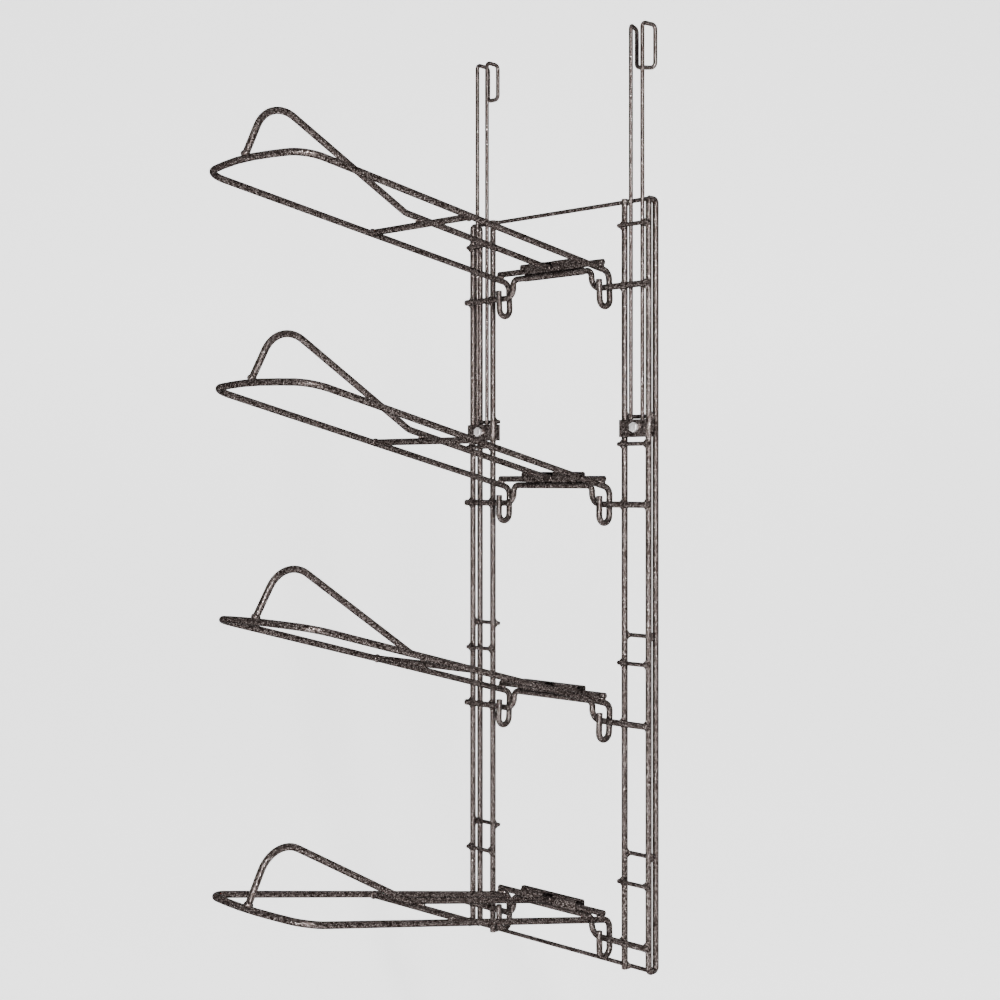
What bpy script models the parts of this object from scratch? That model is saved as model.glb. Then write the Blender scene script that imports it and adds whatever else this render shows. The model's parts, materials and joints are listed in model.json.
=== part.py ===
"""Four-tier saddle rack in bent steel rod that hangs over a stall wall.

Two narrow ladders stand side by side.  Four cranked bars join them, and each carries one saddle arm
that swings up about the straight ends of its bar.  Two wire hooks slide in clamps on the ladders and
carry the rack.  Metres, +Z up, +X to the right, and the arms reach towards -Y.  The origin is the
hang point: midway between the two hooks, under the bends that rest on the wall's top edge.
"""

import math

import bmesh
import bpy
from mathutils import Matrix, Vector

# Stock
ROD_R = 0.0051              # 10 mm rod with its coating
WIRE_R = 0.0034             # 1/4 in rod with its coating
GAP = 0.0003                # clearance between pieces that touch
SECTION_STEPS = 2           # bevel resolution of a round section: eight sides
ARC_STEP = math.radians(18.0)

# Ladders
LADDER_HEIGHT = 1.219
INNER_X = 0.1447            # axis of an inner upright from the middle of the rack
LADDER_WIDTH = 0.048        # axis to axis across one ladder
POST_DEPTH = 2 * (ROD_R + WIRE_R + GAP)     # legs of an outer post, with a rung between them
POST_BEND = 0.0062
TOP_BAR_DROP = 0.0032       # axis of the top bar below the ladder's top
BOTTOM_BAR_RISE = 0.0045
RUNG_OVERHANG = 0.0015      # a rung's end past the rods that it is welded to

# Tiers
TIER_PITCH = 0.3454
FIRST_TIER_DROP = 0.1383    # top of the ladder to the first cranked bar
FRONT_RUNG_RISE = 0.0955    # a front rung above its cranked bar
BACK_RUNG_DROP = 0.2067     # a back rung below the cranked bar above it
TIER_TILTS = (9.0, 13.0, 15.0, 11.0)    # rise of each arm at rest, degrees

# Cranked bars
CRANK_LEG_X = 0.086
CRANK_RISE = 0.030
CRANK_LOW_BEND = 0.0175
CRANK_TOP_BEND = 0.010

# Arms: s runs forward along the side rails, n runs up from them
RAIL_TILT = 12.0            # side rails above a level line when the jaws hang upright, degrees
RAIL_X = 0.110
RAIL_HEIGHT = 0.029         # rails above the hinge axis
RAIL_BEND = 0.015
JAW_WIDTH = 0.025           # axis to axis across a jaw
JAW_DROP = 0.0172           # hinge axis down to the centre of the jaw's bend
JAW_TIP_RISE = 0.0135
CORNER_S = 0.614
CORNER_BEND = 0.038
NOSE_S = 0.634
NOSE_BEND = 0.300
CROSS_ROD_S = 0.302
REAR_BAR_S = 0.006
REAR_BAR_X = RAIL_X + ROD_R
RIDGE_FOOT_S = 0.629
RIDGE_FOOT_GAP = 0.0010
RIDGE_PEAK_S = 0.603        # where the bow's two straight runs would meet
RIDGE_PEAK_N = 0.0974
RIDGE_PEAK_BEND = 0.047
RIDGE_KNEE_S = 0.3317
RIDGE_KNEE_BEND = 0.030

# Keepers
SHEET = 0.0016
KEEPER_X = 0.065
KNUCKLE_X = 0.060
NOTCH_X = 0.010
KEEPER_TOP = 0.0522         # top of a knuckle above the hinge axis
KEEPER_CORNER = 0.0034
KEEPER_PLAY = 0.0006        # keeper's back wall to the cranked bar
SWING_GAP = 0.0012          # room for the cranked bar as the keeper swings off it

# Hooks
HOOK_RISE = 0.269           # hang point above the ladder's top
HOOK_THROAT = 0.0202
HOOK_SPACING = 0.023
HOOK_BEND = 0.0070
HOOK_TAIL_DROP = 0.375      # ladder's top down to the hook's lower ends
HOOK_SHIFT = {"left": 0.0, "right": 0.0015}
LOOP_SPREAD = {"left": (0.0, 0.0), "right": (0.0095, 0.0045)}   # inner and outer leg of the loop
LOOP_DROP = {"left": (0.058, 0.058), "right": (0.060, 0.067)}

# Clamps
CLAMP_DROP = 0.3635         # ladder's top to the clamp's middle
CLAMP_HEIGHT = 0.0276
CLAMP_PLATE = 0.0030
CLAMP_FLANGE = 0.0090
BACK_PLATE_OVERHANG = 0.0042
PAD_HEIGHT = 0.024
PAD_SIDE_GAP = 0.0010
BOLT_SHIFT = {"left": -0.0010, "right": 0.0030}
BOLT_RISE = 0.0012
BOLT_R = 0.0047
BOLT_HEAD = 0.0060
BOLT_TAIL = 0.0022
NUT_HEIGHT = 0.0078
HEX_FLATS = 0.0143
ROUND_SEGMENTS = 20

# Places that follow from the sizes above
TOUCH_ROD = 2 * ROD_R + GAP
HOOK_Y = HOOK_THROAT / 2 + WIRE_R
FRONT_Y = ROD_R - WIRE_R - HOOK_Y
BACK_ROD_Y = FRONT_Y + ROD_R + GAP + WIRE_R
HINGE_Y = FRONT_Y - TOUCH_ROD
OUTER_X = INNER_X + LADDER_WIDTH
LADDER_X = INNER_X + LADDER_WIDTH / 2
LADDER_TOP = -HOOK_RISE
LADDER_BOTTOM = LADDER_TOP - LADDER_HEIGHT
CLAMP_Z = LADDER_TOP - CLAMP_DROP
SIDES = (("left", -1), ("right", 1))


def tier_z(tier):
    """Height of a tier's hinge axis."""
    return LADDER_TOP - FIRST_TIER_DROP - tier * TIER_PITCH


def on_arm(x, s, n):
    """A place given in the plane of an arm's rails, in the axes of the arm's pivot."""
    tilt = math.radians(RAIL_TILT)
    forward = s * math.cos(tilt) - n * math.sin(tilt)
    up = RAIL_HEIGHT + s * math.sin(tilt) + n * math.cos(tilt)
    return Vector((x, -forward, up))


# ---------------------------------------------------------------- scene and materials

def clear_scene():
    for item in list(bpy.data.objects):
        bpy.data.objects.remove(item, do_unlink=True)


def new_collection(name):
    collection = bpy.data.collections.new(name)
    bpy.context.scene.collection.children.link(collection)
    return collection


def make_material(name, colour, roughness, metallic):
    material = bpy.data.materials.new(name)
    material.use_nodes = True
    shader = material.node_tree.nodes["Principled BSDF"]
    shader.inputs["Base Color"].default_value = (*colour, 1.0)
    shader.inputs["Roughness"].default_value = roughness
    shader.inputs["Metallic"].default_value = metallic
    return material


clear_scene()
PARTS = new_collection("saddle_rack")
CUTTERS = new_collection("cutters")
FRAME_COAT = make_material("frame_coat", (0.100, 0.079, 0.075), 0.42, 0.35)
ARM_COAT = make_material("arm_coat", (0.095, 0.076, 0.072), 0.45, 0.35)
SHEET_COAT = make_material("sheet_coat", (0.108, 0.088, 0.084), 0.50, 0.35)
HOOK_COAT = make_material("hook_coat", (0.090, 0.074, 0.070), 0.45, 0.35)
ZINC = make_material("bright_zinc", (0.62, 0.60, 0.60), 0.35, 0.90)


# ---------------------------------------------------------------- builders

def place(name, data, material, parent=None, at=(0.0, 0.0, 0.0)):
    """A new object in the rack's collection."""
    item = bpy.data.objects.new(name, data)
    item.location = at
    item.parent = parent
    data.materials.append(material)
    PARTS.objects.link(item)
    return item


def pivot(name, at, tilt=0.0):
    """An empty whose x axis is a hinge axis, leaned back by a tilt in degrees."""
    empty = bpy.data.objects.new(name, None)
    empty.empty_display_size = 0.03
    empty.location = at
    empty.rotation_euler.x = -math.radians(tilt)
    PARTS.objects.link(empty)
    return empty


def corner_arc(before, corner, after, radius):
    """Points of the arc that rounds one corner, in order."""
    into = (corner - before).normalized()
    out = (after - corner).normalized()
    turn = into.angle(out)
    centre_side = (out - into * out.dot(into)).normalized()
    start = corner - into * radius * math.tan(turn / 2)
    centre = start + centre_side * radius
    steps = max(2, math.ceil(turn / ARC_STEP))
    angles = [turn * step / steps for step in range(steps + 1)]
    return [centre + (into * math.sin(a) - centre_side * math.cos(a)) * radius for a in angles]


def without_repeats(points):
    """The same points with neighbours that coincide left out."""
    kept = [points[0]]
    for point in points[1:]:
        if (point - kept[-1]).length > GAP:
            kept.append(point)
    return kept


def bent_path(corners, bends):
    """A path through corners, with each inner corner rounded by its bend radius."""
    corners = [Vector(corner) for corner in corners]
    path = [corners[0]]
    for index, bend in enumerate(bends, start=1):
        path += corner_arc(*corners[index - 1:index + 2], bend)
    path.append(corners[-1])
    return without_repeats(path)


def bent_ring(corners, bend):
    """A closed path through corners that all have one bend radius."""
    corners = [Vector(corner) for corner in corners]
    ring = []
    for index, corner in enumerate(corners):
        ring += corner_arc(corners[index - 1], corner, corners[(index + 1) % len(corners)], bend)
    return without_repeats(ring)


def rod(name, path, radius, material, parent=None, closed=False, at=(0.0, 0.0, 0.0)):
    """A round rod along a path."""
    curve = bpy.data.curves.new(name, "CURVE")
    curve.dimensions = "3D"
    curve.bevel_depth = radius
    curve.bevel_resolution = SECTION_STEPS
    curve.use_fill_caps = not closed
    spline = curve.splines.new("POLY")
    spline.points.add(len(path) - 1)
    for point, spot in zip(spline.points, path):
        point.co = (*spot, 1.0)
    spline.use_cyclic_u = closed
    spline.use_smooth = True
    return place(name, curve, material, parent, at)


def level_rod(name, x_from, x_to, y, z, radius, material, parent=None):
    """A straight rod along X."""
    middle = (x_from + x_to) / 2
    ends = [Vector((x_from - middle, 0.0, 0.0)), Vector((x_to - middle, 0.0, 0.0))]
    return rod(name, ends, radius, material, parent, at=(middle, y, z))


def folded_sheet(name, profile, along, stations, thickness, material, parent=None, at=(0, 0, 0),
                 is_open=None):
    """A bent sheet: a profile swept along a direction through stations, with openings left out."""
    along = Vector(along)
    shape = bmesh.new()
    row = [shape.verts.new(Vector(point) + along * stations[0]) for point in profile]
    edges = [shape.edges.new(pair) for pair in zip(row, row[1:])]
    for start, end in zip(stations, stations[1:]):
        grown = bmesh.ops.extrude_edge_only(shape, edges=edges)["geom"]
        verts = [item for item in grown if isinstance(item, bmesh.types.BMVert)]
        bmesh.ops.translate(shape, vec=along * (end - start), verts=verts)
        edges = [item for item in grown if isinstance(item, bmesh.types.BMEdge)
                 and all(vert in verts for vert in item.verts)]
    if is_open:
        gone = [face for face in shape.faces if is_open(face.calc_center_median())]
        bmesh.ops.delete(shape, geom=gone, context="FACES")
    bmesh.ops.recalc_face_normals(shape, faces=shape.faces)
    mesh = bpy.data.meshes.new(name)
    shape.to_mesh(mesh)
    shape.free()
    item = place(name, mesh, material, parent, at)
    wall = item.modifiers.new("wall", "SOLIDIFY")
    wall.thickness = thickness
    wall.offset = 0.0
    wall.use_even_offset = True
    return item


def prism_mesh(name, sides, radius, length):
    """A prism or round bar along Y whose front face is at y = 0."""
    shape = bmesh.new()
    bmesh.ops.create_cone(shape, cap_ends=True, segments=sides, radius1=radius, radius2=radius,
                          depth=length)
    upright = Matrix.Rotation(math.pi / 2, 3, "X")
    bmesh.ops.rotate(shape, cent=(0, 0, 0), matrix=upright, verts=shape.verts)
    bmesh.ops.translate(shape, vec=(0, length / 2, 0), verts=shape.verts)
    mesh = bpy.data.meshes.new(name)
    shape.to_mesh(mesh)
    shape.free()
    return mesh


def flat_plate(name, width, thickness, height, material, at):
    """A plate whose front face is at y = 0."""
    shape = bmesh.new()
    bmesh.ops.create_cube(shape, size=1.0)
    bmesh.ops.scale(shape, vec=(width, thickness, height), verts=shape.verts)
    bmesh.ops.translate(shape, vec=(0, thickness / 2, 0), verts=shape.verts)
    mesh = bpy.data.meshes.new(name)
    shape.to_mesh(mesh)
    shape.free()
    return place(name, mesh, material, at=at)


def tool(name, mesh, at):
    """A hidden solid that a Boolean modifier works with."""
    item = bpy.data.objects.new(name, mesh)
    item.location = at
    item.hide_render = True
    item.display_type = "WIRE"
    CUTTERS.objects.link(item)
    return item


def combine(item, other, operation):
    """Cut or join an object with a hidden solid."""
    change = item.modifiers.new(operation.lower(), "BOOLEAN")
    change.operation = operation
    change.object = other


# ---------------------------------------------------------------- ladders

def inner_upright(side, sign):
    path = [Vector((0, 0, -LADDER_HEIGHT)), Vector((0, 0, 0))]
    rod(f"inner_upright_{side}", path, ROD_R, FRAME_COAT, at=(sign * INNER_X, FRONT_Y, LADDER_TOP))


def outer_post(side, sign):
    """One rod bent into a long closed loop, front leg and back leg."""
    top = -ROD_R
    bottom = ROD_R - LADDER_HEIGHT
    corners = [(0, 0, bottom), (0, 0, top), (0, POST_DEPTH, top), (0, POST_DEPTH, bottom)]
    ring = bent_ring(corners, POST_BEND)
    rod(f"outer_post_{side}", ring, ROD_R, FRAME_COAT, closed=True,
        at=(sign * OUTER_X, FRONT_Y, LADDER_TOP))


def end_bar(name, z):
    """A thin bar across both ladders, behind the inner uprights."""
    reach = OUTER_X - ROD_R - GAP
    level_rod(name, -reach, reach, BACK_ROD_Y, z, WIRE_R, FRAME_COAT)


def ladder_rungs(side, sign):
    """Short rungs in front of each ladder, and between the legs of its outer post."""
    inner_end = sign * (INNER_X - ROD_R - RUNG_OVERHANG)
    outer_end = sign * (OUTER_X + ROD_R)
    front_y = FRONT_Y - ROD_R - GAP - WIRE_R
    for tier in range(len(TIER_TILTS)):
        level_rod(f"front_rung_{side}_{tier + 1}", inner_end, outer_end, front_y,
                  tier_z(tier) + FRONT_RUNG_RISE, WIRE_R, FRAME_COAT)
    for tier in range(len(TIER_TILTS) - 1):
        level_rod(f"back_rung_{side}_{tier + 1}", inner_end, outer_end, BACK_ROD_Y,
                  tier_z(tier) - BACK_RUNG_DROP, WIRE_R, FRAME_COAT)


def cranked_bar(tier, lean):
    """The bar that joins the ladders: straight ends for the jaws, a raised middle for the keeper."""
    end = OUTER_X + ROD_R + RUNG_OVERHANG
    corners = [(-end, 0, 0), (-CRANK_LEG_X, 0, 0), (-CRANK_LEG_X, 0, CRANK_RISE),
               (CRANK_LEG_X, 0, CRANK_RISE), (CRANK_LEG_X, 0, 0), (end, 0, 0)]
    bends = [CRANK_LOW_BEND, CRANK_TOP_BEND, CRANK_TOP_BEND, CRANK_LOW_BEND]
    axis = pivot(f"crank_axis_{tier + 1}", (0, HINGE_Y, tier_z(tier)), lean)
    rod(f"crank_bar_{tier + 1}", bent_path(corners, bends), ROD_R, FRAME_COAT, axis)


# ---------------------------------------------------------------- arms

def arm_loop(name, axis):
    """One rod: a jaw round the bar, a side rail, the nose, and back to the other jaw."""
    tip_y = -TOUCH_ROD
    shank_y = tip_y + JAW_WIDTH
    bend = JAW_WIDTH / 2
    jaw_bottom = -JAW_DROP - bend
    rail_start = RAIL_HEIGHT - shank_y * math.tan(math.radians(RAIL_TILT))
    half = [(RAIL_X, tip_y, JAW_TIP_RISE), (RAIL_X, tip_y, jaw_bottom), (RAIL_X, shank_y, jaw_bottom),
            (RAIL_X, shank_y, rail_start), tuple(on_arm(RAIL_X, CORNER_S, 0))]
    other_half = [(-x, y, z) for x, y, z in reversed(half)]
    corners = half + [tuple(on_arm(0, NOSE_S, 0))] + other_half
    half_bends = [bend, bend, RAIL_BEND, CORNER_BEND]
    bends = half_bends + [NOSE_BEND] + half_bends[::-1]
    rod(name, bent_path(corners, bends), ROD_R, ARM_COAT, axis)


def arm_ridge(name, axis):
    """The middle rail, which lies on the cross rod and rises into the bow at the front."""
    corners = [on_arm(0, RIDGE_FOOT_S, ROD_R + RIDGE_FOOT_GAP),
               on_arm(0, RIDGE_PEAK_S, RIDGE_PEAK_N),
               on_arm(0, RIDGE_KNEE_S, TOUCH_ROD),
               on_arm(0, REAR_BAR_S + ROD_R + 2 * GAP, TOUCH_ROD)]
    rod(name, bent_path(corners, [RIDGE_PEAK_BEND, RIDGE_KNEE_BEND]), ROD_R, ARM_COAT, axis)


def arm_cross_rod(name, axis):
    reach = RAIL_X - ROD_R - GAP
    _, y, z = on_arm(0, CROSS_ROD_S, 0)
    level_rod(name, -reach, reach, y, z, ROD_R, ARM_COAT, axis)


def arm_rear_bar(name, axis):
    _, y, z = on_arm(0, REAR_BAR_S, TOUCH_ROD)
    level_rod(name, -REAR_BAR_X, REAR_BAR_X, y, z, ROD_R, ARM_COAT, axis)


def arm_keeper(name, axis):
    """A sheet folded over the rear bar that drops behind the cranked bar."""
    _, bar_y, bar_z = on_arm(0, REAR_BAR_S, TOUCH_ROD)
    roll = ROD_R + GAP + SHEET / 2
    clear_outside = CRANK_RISE + ROD_R + SWING_GAP
    front_y = bar_y - roll
    front_foot = math.sqrt(clear_outside ** 2 - (front_y + SHEET / 2) ** 2)
    back_y = ROD_R + KEEPER_PLAY + SHEET / 2
    back_foot = CRANK_RISE - ROD_R
    top = KEEPER_TOP - SHEET / 2
    corners = [Vector((0, front_y, front_foot)), Vector((0, front_y, top)),
               Vector((0, back_y, top)), Vector((0, back_y, back_foot))]
    profile = [corners[0], *corner_arc(*corners[:3], KEEPER_CORNER), Vector((0, bar_y, top)),
               *corner_arc(*corners[1:], KEEPER_CORNER), corners[3]]
    stations = (-KEEPER_X, -KNUCKLE_X, -NOTCH_X, NOTCH_X, KNUCKLE_X, KEEPER_X)

    def is_open(spot):
        in_front = spot.y < bar_y and spot.z > front_foot
        return in_front and not NOTCH_X < abs(spot.x) < KNUCKLE_X

    folded_sheet(name, profile, (1, 0, 0), stations, SHEET, SHEET_COAT, axis, is_open=is_open)


def saddle_arm(tier, lean):
    """All the pieces that swing together on one cranked bar."""
    axis = pivot(f"arm_axis_{tier + 1}", (0, HINGE_Y, tier_z(tier)), lean)
    for kind, build in (("loop", arm_loop), ("ridge", arm_ridge), ("cross_rod", arm_cross_rod),
                        ("rear_bar", arm_rear_bar), ("keeper", arm_keeper)):
        build(f"arm_{kind}_{tier + 1}", axis)


# ---------------------------------------------------------------- hooks and clamps

def hanging_hook(side, sign):
    """One wire: up the ladder, over the wall's edge, round the back loop and down again."""
    inner = -sign * HOOK_SPACING / 2
    outer = sign * HOOK_SPACING / 2
    inner_spread, outer_spread = LOOP_SPREAD[side]
    back_inner = inner - sign * inner_spread
    back_outer = outer + sign * outer_spread
    tail = LADDER_TOP - HOOK_TAIL_DROP
    loop_inner, loop_outer = (WIRE_R - drop for drop in LOOP_DROP[side])
    corners = [(inner, -HOOK_Y, tail), (inner, -HOOK_Y, WIRE_R), (back_inner, HOOK_Y, WIRE_R),
               (back_inner, HOOK_Y, loop_inner), (back_outer, HOOK_Y, loop_outer),
               (back_outer, HOOK_Y, WIRE_R),
               (outer, -HOOK_Y, WIRE_R), (outer, -HOOK_Y, tail)]
    path = bent_path(corners, [HOOK_BEND] * 6)
    middle = sign * LADDER_X + HOOK_SHIFT[side]
    rod(f"hook_{side}", path, WIRE_R, HOOK_COAT, at=(middle, 0, 0))


def clamp(side, sign):
    """Two plates, a pad that bears on the hook's legs, and the bolt and nut that draw them together."""
    x = sign * LADDER_X
    half_width = LADDER_WIDTH / 2 + ROD_R
    front_face = FRONT_Y - ROD_R - GAP
    back_face = FRONT_Y + ROD_R + GAP
    pad_front = WIRE_R + GAP - HOOK_Y
    pad_back = back_face - GAP
    nut_front = back_face + CLAMP_PLATE + GAP
    nut_back = nut_front + NUT_HEIGHT
    head_back = front_face - CLAMP_PLATE - GAP
    head_front = head_back - BOLT_HEAD

    plate_y = front_face - CLAMP_PLATE / 2
    flange_x = half_width + GAP + CLAMP_PLATE / 2
    wrap = flange_x - LADDER_WIDTH / 2
    profile = bent_path([(-half_width, plate_y, 0), (flange_x, plate_y, 0),
                         (flange_x, plate_y + CLAMP_FLANGE, 0)], [wrap])
    stations = (-CLAMP_HEIGHT / 2, CLAMP_HEIGHT / 2)
    front = folded_sheet(f"clamp_front_{side}", profile, (0, 0, 1), stations, CLAMP_PLATE, SHEET_COAT,
                         at=(x, 0, CLAMP_Z))
    back = flat_plate(f"clamp_back_{side}", 2 * (half_width + BACK_PLATE_OVERHANG), CLAMP_PLATE,
                      CLAMP_HEIGHT, SHEET_COAT, (x, back_face, CLAMP_Z))
    pad_width = LADDER_WIDTH - 2 * (ROD_R + PAD_SIDE_GAP)
    pad = flat_plate(f"clamp_pad_{side}", pad_width, pad_back - pad_front, PAD_HEIGHT, SHEET_COAT,
                     (x, pad_front, CLAMP_Z))

    bolt_x = x + BOLT_SHIFT[side]
    bolt_z = CLAMP_Z + BOLT_RISE
    hex_radius = HEX_FLATS / 2 / math.cos(math.pi / 6)
    bolt = place(f"clamp_bolt_{side}", prism_mesh("bolt_head", 6, hex_radius, BOLT_HEAD), ZINC,
                 at=(bolt_x, head_front, bolt_z))
    nut = place(f"clamp_nut_{side}", prism_mesh("nut_body", 6, hex_radius, NUT_HEIGHT), ZINC,
                at=(bolt_x, nut_front, bolt_z))
    shank_start = head_front + BOLT_HEAD / 2
    shank = prism_mesh("bolt_shank", ROUND_SEGMENTS, BOLT_R, nut_back + BOLT_TAIL - shank_start)
    combine(bolt, tool(f"bolt_shank_{side}", shank, (bolt_x, shank_start, bolt_z)), "UNION")
    bore = prism_mesh("bolt_bore", ROUND_SEGMENTS, BOLT_R + GAP, 2 * (nut_back - head_front))
    hole = tool(f"bolt_bore_{side}", bore, (bolt_x, head_front, bolt_z))
    for holed in (front, pad, back, nut):
        combine(holed, hole, "DIFFERENCE")


# ---------------------------------------------------------------- the rack

def build_rack():
    end_bar("top_bar", LADDER_TOP - TOP_BAR_DROP)
    end_bar("bottom_bar", LADDER_BOTTOM + BOTTOM_BAR_RISE)
    for side, sign in SIDES:
        inner_upright(side, sign)
        outer_post(side, sign)
        ladder_rungs(side, sign)
        hanging_hook(side, sign)
        clamp(side, sign)
    for tier, tilt in enumerate(TIER_TILTS):
        lean = tilt - RAIL_TILT
        cranked_bar(tier, lean)
        saddle_arm(tier, lean)


build_rack()
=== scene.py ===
"""The looks of the over-the-wall saddle rack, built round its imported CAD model.

Every coarse rod, plate and bolt of the CAD model gets a smooth piece with bent corners, rounded ends,
weld fillets and a hammertone coat.  Metres, +Z up, the arms reach towards -Y.
"""

import json
import math

import bmesh
import bpy
from bpy.props import FloatProperty, FloatVectorProperty, IntProperty, PointerProperty
from mathutils import Matrix, Vector


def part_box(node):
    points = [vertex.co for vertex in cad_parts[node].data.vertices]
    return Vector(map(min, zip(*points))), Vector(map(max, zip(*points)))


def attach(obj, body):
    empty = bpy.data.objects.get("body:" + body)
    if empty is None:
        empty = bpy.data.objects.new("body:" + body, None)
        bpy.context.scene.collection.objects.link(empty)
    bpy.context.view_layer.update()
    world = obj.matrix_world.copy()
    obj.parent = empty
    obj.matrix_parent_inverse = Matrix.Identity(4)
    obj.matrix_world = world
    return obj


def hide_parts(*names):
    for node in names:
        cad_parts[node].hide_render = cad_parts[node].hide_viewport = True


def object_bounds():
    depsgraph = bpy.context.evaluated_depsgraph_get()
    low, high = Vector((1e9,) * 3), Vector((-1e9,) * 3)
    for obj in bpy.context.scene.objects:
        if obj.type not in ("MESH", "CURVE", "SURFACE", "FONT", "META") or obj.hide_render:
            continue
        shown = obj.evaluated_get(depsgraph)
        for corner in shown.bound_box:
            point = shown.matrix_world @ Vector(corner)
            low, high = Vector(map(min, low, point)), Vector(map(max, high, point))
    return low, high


bl_info = {
    "name": "Saddle Rack Finish",
    "version": (1, 0, 0),
    "blender": (4, 5, 0),
    "location": "3D View > Sidebar > Saddle Rack",
    "description": "Builds the finished surfaces of a four-tier saddle rack round its CAD model",
    "category": "Object",
}

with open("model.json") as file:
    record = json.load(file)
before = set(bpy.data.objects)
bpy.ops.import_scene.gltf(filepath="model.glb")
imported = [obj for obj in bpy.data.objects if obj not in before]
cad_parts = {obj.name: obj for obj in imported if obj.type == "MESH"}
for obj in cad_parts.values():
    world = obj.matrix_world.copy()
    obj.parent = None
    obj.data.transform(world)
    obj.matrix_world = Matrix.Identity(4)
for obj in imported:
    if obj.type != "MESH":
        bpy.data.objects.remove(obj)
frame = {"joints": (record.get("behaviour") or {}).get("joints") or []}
CAD_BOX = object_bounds()

# Sizes that the CAD model is made from
ROD_R = 0.0051
WIRE_R = 0.0034
GAP = 0.0003
TIER_TILTS = (9.0, 13.0, 15.0, 11.0)
POST_BEND = 0.0062
CRANK_LEG_X = 0.086
CRANK_RISE = 0.030
CRANK_BENDS = (0.0175, 0.010, 0.010, 0.0175)
RAIL_TILT = 12.0
RAIL_X = 0.110
RAIL_HEIGHT = 0.029
RAIL_BEND = 0.015
JAW_WIDTH = 0.025
JAW_DROP = 0.0172
JAW_TIP_RISE = 0.0135
CORNER_S = 0.614
CORNER_BEND = 0.038
NOSE_S = 0.634
NOSE_BEND = 0.300
CROSS_ROD_S = 0.302
REAR_BAR_S = 0.006
RIDGE_FOOT_S = 0.629
RIDGE_FOOT_GAP = 0.0010
RIDGE_PEAK = (0.603, 0.0974)
RIDGE_PEAK_BEND = 0.047
RIDGE_KNEE_S = 0.3317
RIDGE_KNEE_BEND = 0.030
SHEET = 0.0016
KEEPER_X = 0.065
KNUCKLE_X = 0.060
NOTCH_X = 0.010
KEEPER_TOP = 0.0522
KEEPER_CORNER = 0.0034
KEEPER_PLAY = 0.0006
SWING_GAP = 0.0012
HOOK_SPACING = 0.023
HOOK_BEND = 0.0070
HOOK_SHIFT = {"left": 0.0, "right": 0.0015}
LOOP_SPREAD = {"left": (0.0, 0.0), "right": (0.0095, 0.0045)}
LOOP_DROP = {"left": (0.058, 0.058), "right": (0.060, 0.067)}
CLAMP_PLATE = 0.0030
BOLT_R = 0.0047
BOLT_HEAD = 0.0060
HEX_FLATS = 0.0143
TOUCH_ROD = 2 * ROD_R + GAP

# Details that the CAD model leaves out
HEX_CHAMFER = 0.0011          # how far the turned corners of a hexagon reach in
HEX_CROWN = 0.0006            # how far its turned end stands out
HEX_EDGE = 0.0003
HEAD_PLAY = 0.0005            # how much shallower than the CAD head the modelled one is
HEAD_SEAT = 0.0002
THREAD_PITCH = 0.0012
THREAD_DEPTH = 0.0007
THREAD_TURNS = 9
THREAD_SIDES = 28
ARM_FILLET = 0.0032           # half thicknesses of the arm's own fillets
RAIL_FILLET = 0.0034
PLATE_EDGE = 0.0005
BACK_EDGE = 0.0008
PAD_EDGE = 0.0006

SIDES = (("left", -1), ("right", 1))
TIERS = range(1, len(TIER_TILTS) + 1)
ROOT = "ladder_frame"
ALONG_X = Vector((1, 0, 0))
ALONG_Z = Vector((0, 0, 1))
FULL_TURN = 2 * math.pi
QUARTER_TURN = math.pi / 2

# The view
VIEW_TURN = math.radians(43.62)
CAMERA_SPOT = (1.6784, -1.9073, -0.7146)
CAMERA_TIP = math.radians(90.06)
CAMERA_LENS = 55.26
CAMERA_SHIFT = -0.0212


# ---------------------------------------------------------------- shared shapes

def look():
    """The add-on's settings."""
    return bpy.context.scene.saddle_rack


def add_piece(name, bm, body, slot, replaced=(), crease=40.0):
    """Turn a bmesh into a finished piece that rides on a body and stands for CAD nodes."""
    bmesh.ops.recalc_face_normals(bm, faces=bm.faces)
    mesh = bpy.data.meshes.new(name)
    bm.to_mesh(mesh)
    bm.free()
    mesh.polygons.foreach_set("use_smooth", [True] * len(mesh.polygons))
    mesh.set_sharp_from_angle(angle=math.radians(crease))
    mesh.materials.append(finish_for(slot))
    piece = bpy.data.objects.new(name, mesh)
    link(piece)
    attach(piece, body)
    if replaced:
        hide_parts(*replaced)
    return piece


def grow(bm, ring):
    """Extrude a ring of edges in place and give the new ring's edges and vertices."""
    made = bmesh.ops.extrude_edge_only(bm, edges=ring)["geom"]
    verts = [item for item in made if isinstance(item, bmesh.types.BMVert)]
    fresh = set(verts)
    edges = [item for item in made if isinstance(item, bmesh.types.BMEdge) and fresh.issuperset(item.verts)]
    return edges, verts


def section(bm, centre, direction, radius):
    """The round section that a rod starts from."""
    place = Matrix.Translation(centre) @ direction.to_track_quat("Z", "Y").to_matrix().to_4x4()
    made = bmesh.ops.create_circle(bm, segments=look().rod_sides, radius=radius, matrix=place)
    return list({edge for vert in made["verts"] for edge in vert.link_edges})


def bend_at(before, corner, after, radius):
    """Where a bend starts, its centre, its axis and how far it turns."""
    into = (corner - before).normalized()
    out = (after - corner).normalized()
    turn = into.angle(out)
    axis = into.cross(out).normalized()
    start = corner - into * radius * math.tan(turn / 2)
    return start, start + axis.cross(into) * radius, axis, turn


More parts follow.
